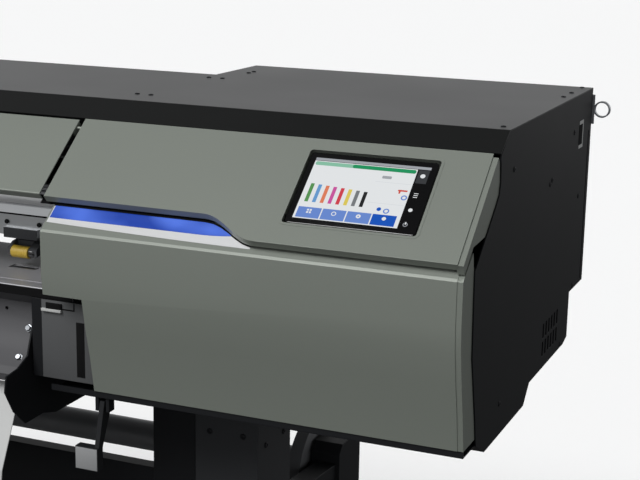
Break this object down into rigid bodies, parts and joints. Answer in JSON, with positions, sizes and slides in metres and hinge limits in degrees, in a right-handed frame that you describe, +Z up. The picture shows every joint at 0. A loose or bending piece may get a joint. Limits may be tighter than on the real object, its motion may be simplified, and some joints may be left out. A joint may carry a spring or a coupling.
{
  "type": "wide format printer cutter",
  "caption": "Floor-standing roll-fed printer and cutter: long housing with tilted covers and a touch screen, on a castor stand with roll holder and take-up.",
  "frame": {"origin": "centre of the footprint on the floor", "axes": "+X right as seen from the front, +Y to the back, +Z up"},
  "size_m": [2.92, 0.785, 1.5214],
  "materials": {
    "black_steel": "satin powder coat",
    "dark_steel": "satin powder coat",
    "satin_steel": "satin powder coat",
    "grey_cover": "metallic grey paint",
    "light_steel": "light grey powder coat",
    "bare_steel": "ground steel",
    "rail_aluminium": "anodised extrusion",
    "zinc_plate": "zinc plated",
    "castor_rubber": "moulded",
    "belt_rubber": "moulded",
    "gold_roller": "ground polyurethane",
    "black_plastic": "fine texture",
    "white_plastic": "blow moulded",
    "screen_glass": "glossy",
    "blue_strip": "printed gloss film"
  },
  "bodies": {
    "machine": {"stand_leg_left": "dark_steel", "stand_leg_right": "dark_steel", "inner_posts": "black_steel", "cross_beam": "black_steel", "levelling_feet": "zinc_plate", "base_frame": "dark_steel", "end_frames": "dark_steel", "inner_frames": "dark_steel", "rail_beam": "rail_aluminium", "linear_rail": "bare_steel", "platen": "satin_steel", "front_apron": "dark_steel", "apron_brackets": "black_steel", "rear_apron": "dark_steel", "drive_motors": "black_steel", "carriage_belt": "belt_rubber", "cap_station": "black_plastic", "top_cover": "satin_steel", "right_upper_cover": "grey_cover", "right_lower_cover": "grey_cover", "right_side_plate": "black_steel", "left_upper_cover": "grey_cover", "left_lower_cover": "grey_cover", "left_side_plate": "black_steel", "bottom_trays": "black_steel", "rear_cover": "satin_steel", "touch_panel": "screen_glass", "accent_strip": "blue_strip", "cable_clips": "zinc_plate", "cover_screws": "black_steel", "ink_bay": "black_plastic", "power_inlet": "black_plastic", "takeup_units": "black_plastic", "roll_holders": "black_plastic", "media_guide": "light_steel"},
    "front_cover": {"front_cover": "grey_cover"},
    "head_carriage": {"head_carriage": "black_plastic", "print_heads": "bare_steel"},
    "cutter_carriage": {"cutter_carriage": "black_plastic"},
    "blade_holder": {"blade_holder": "bare_steel"},
    "drive_pulley": {"drive_pulley": "rail_aluminium"},
    "idler_pulley": {"idler_pulley": "rail_aluminium"},
    "grit_roller": {"grit_roller": "bare_steel"},
    "pinch_arms": {"pinch_arms": "black_steel"},
    "pinch_rollers": {"pinch_rollers": "gold_roller"},
    "load_lever": {"load_lever": "black_plastic"},
    "ink_door": {"ink_door": "satin_steel"},
    "power_switch": {"power_switch": "black_plastic"},
    "takeup_shaft": {"takeup_shaft": "rail_aluminium"},
    "dancer_bar": {"dancer_bar": "light_steel"},
    "roll_shaft": {"roll_shaft": "dark_steel"},
    "waste_bottle": {"waste_bottle": "white_plastic"},
    "caster_fork_front_left": {"caster_fork_front_left": "dark_steel"},
    "caster_wheel_front_left": {"caster_wheel_front_left": "castor_rubber"},
    "caster_fork_front_right": {"caster_fork_front_right": "dark_steel"},
    "caster_wheel_front_right": {"caster_wheel_front_right": "castor_rubber"},
    "caster_fork_rear_left": {"caster_fork_rear_left": "dark_steel"},
    "caster_wheel_rear_left": {"caster_wheel_rear_left": "castor_rubber"},
    "caster_fork_rear_right": {"caster_fork_rear_right": "dark_steel"},
    "caster_wheel_rear_right": {"caster_wheel_rear_right": "castor_rubber"}
  },
  "joints": [
    {"name": "front_cover_hinge", "type": "hinge", "parent": "machine", "child": "front_cover", "pos_m": [0, -0.21835, 1.47918], "axis": [1, 0, 0], "range_deg": [-75, 0]},
    {"name": "carriage_slide", "type": "slide", "parent": "machine", "child": "head_carriage", "axis": [1, 0, 0], "range_m": [-2.15, 0.04]},
    {"name": "cutter_slide", "type": "slide", "parent": "machine", "child": "cutter_carriage", "axis": [1, 0, 0], "range_m": [-2.15, 0.04]},
    {"name": "blade_slide", "type": "slide", "parent": "cutter_carriage", "child": "blade_holder", "axis": [0, 0, 1], "range_m": [-0.003, 0], "stiffness_N_per_m": 300, "springref_m": 0.001},
    {"name": "drive_pulley_spin", "type": "hinge", "parent": "machine", "child": "drive_pulley", "pos_m": [1.345, -0.255, 1.419], "axis": [0, 1, 0], "range_deg": [-12700, 300]},
    {"name": "idler_pulley_spin", "type": "hinge", "parent": "machine", "child": "idler_pulley", "pos_m": [-1.345, -0.255, 1.419], "axis": [0, 1, 0], "range_deg": [-12700, 300]},
    {"name": "grit_roller_spin", "type": "hinge", "parent": "machine", "child": "grit_roller", "pos_m": [0, -0.21971, 1.2413], "axis": [1, 0, 0], "continuous": true},
    {"name": "load_lever_hinge", "type": "hinge", "parent": "machine", "child": "load_lever", "pos_m": [0.865, -0.31, 1.08], "axis": [1, 0, 0], "range_deg": [0, 35]},
    {"name": "pinch_arms_hinge", "type": "hinge", "parent": "machine", "child": "pinch_arms", "pos_m": [0, -0.172, 1.292], "axis": [1, 0, 0], "range_deg": [0, 17.49]},
    {"name": "pinch_rollers_spin", "type": "hinge", "parent": "pinch_arms", "child": "pinch_rollers", "pos_m": [0, -0.227, 1.2762], "axis": [1, 0, 0], "continuous": true},
    {"name": "ink_door_hinge", "type": "hinge", "parent": "machine", "child": "ink_door", "pos_m": [0.86, 0.352, 1.222], "axis": [1, 0, 0], "range_deg": [-90, 0]},
    {"name": "power_switch_rock", "type": "hinge", "parent": "machine", "child": "power_switch", "pos_m": [-1.194, 0.189, 1.153], "axis": [1, 0, 0], "range_deg": [0, 12]},
    {"name": "takeup_spin", "type": "hinge", "parent": "machine", "child": "takeup_shaft", "pos_m": [0, -0.23, 0.5], "axis": [1, 0, 0], "continuous": true},
    {"name": "dancer_hinge", "type": "hinge", "parent": "machine", "child": "dancer_bar", "pos_m": [0, -0.062, 0.33], "axis": [1, 0, 0], "range_deg": [-25, 0]},
    {"name": "roll_spin", "type": "hinge", "parent": "machine", "child": "roll_shaft", "pos_m": [0, 0.29, 0.7785], "axis": [1, 0, 0], "continuous": true},
    {"name": "waste_bottle_pull", "type": "slide", "parent": "machine", "child": "waste_bottle", "axis": [0, -1, 0], "range_m": [0, 0.15]},
    {"name": "caster_fork_front_left_swivel", "type": "hinge", "parent": "machine", "child": "caster_fork_front_left", "pos_m": [-0.9675, -0.34, 0.095], "axis": [0, 0, 1], "continuous": true},
    {"name": "caster_wheel_front_left_spin", "type": "hinge", "parent": "caster_fork_front_left", "child": "caster_wheel_front_left", "pos_m": [-0.9675, -0.32, 0.0375], "axis": [1, 0, 0], "continuous": true},
    {"name": "caster_fork_front_right_swivel", "type": "hinge", "parent": "machine", "child": "caster_fork_front_right", "pos_m": [0.9675, -0.34, 0.095], "axis": [0, 0, 1], "continuous": true},
    {"name": "caster_wheel_front_right_spin", "type": "hinge", "parent": "caster_fork_front_right", "child": "caster_wheel_front_right", "pos_m": [0.9675, -0.32, 0.0375], "axis": [1, 0, 0], "continuous": true},
    {"name": "caster_fork_rear_left_swivel", "type": "hinge", "parent": "machine", "child": "caster_fork_rear_left", "pos_m": [-0.9675, 0.34, 0.095], "axis": [0, 0, 1], "continuous": true},
    {"name": "caster_wheel_rear_left_spin", "type": "hinge", "parent": "caster_fork_rear_left", "child": "caster_wheel_rear_left", "pos_m": [-0.9675, 0.32, 0.0375], "axis": [1, 0, 0], "continuous": true},
    {"name": "caster_fork_rear_right_swivel", "type": "hinge", "parent": "machine", "child": "caster_fork_rear_right", "pos_m": [0.9675, 0.34, 0.095], "axis": [0, 0, 1], "continuous": true},
    {"name": "caster_wheel_rear_right_spin", "type": "hinge", "parent": "caster_fork_rear_right", "child": "caster_wheel_rear_right", "pos_m": [0.9675, 0.32, 0.0375], "axis": [1, 0, 0], "continuous": true}
  ],
  "couplings": [
    {"joint": "cutter_slide", "follows": "carriage_slide", "ratio": 1},
    {"joint": "drive_pulley_spin", "follows": "carriage_slide", "rad_per_m": 100},
    {"joint": "idler_pulley_spin", "follows": "carriage_slide", "rad_per_m": 100},
    {"joint": "pinch_arms_hinge", "follows": "load_lever_hinge", "ratio": 0.49974},
    {"joint": "pinch_rollers_spin", "follows": "grit_roller_spin", "ratio": -0.9375}
  ]
}
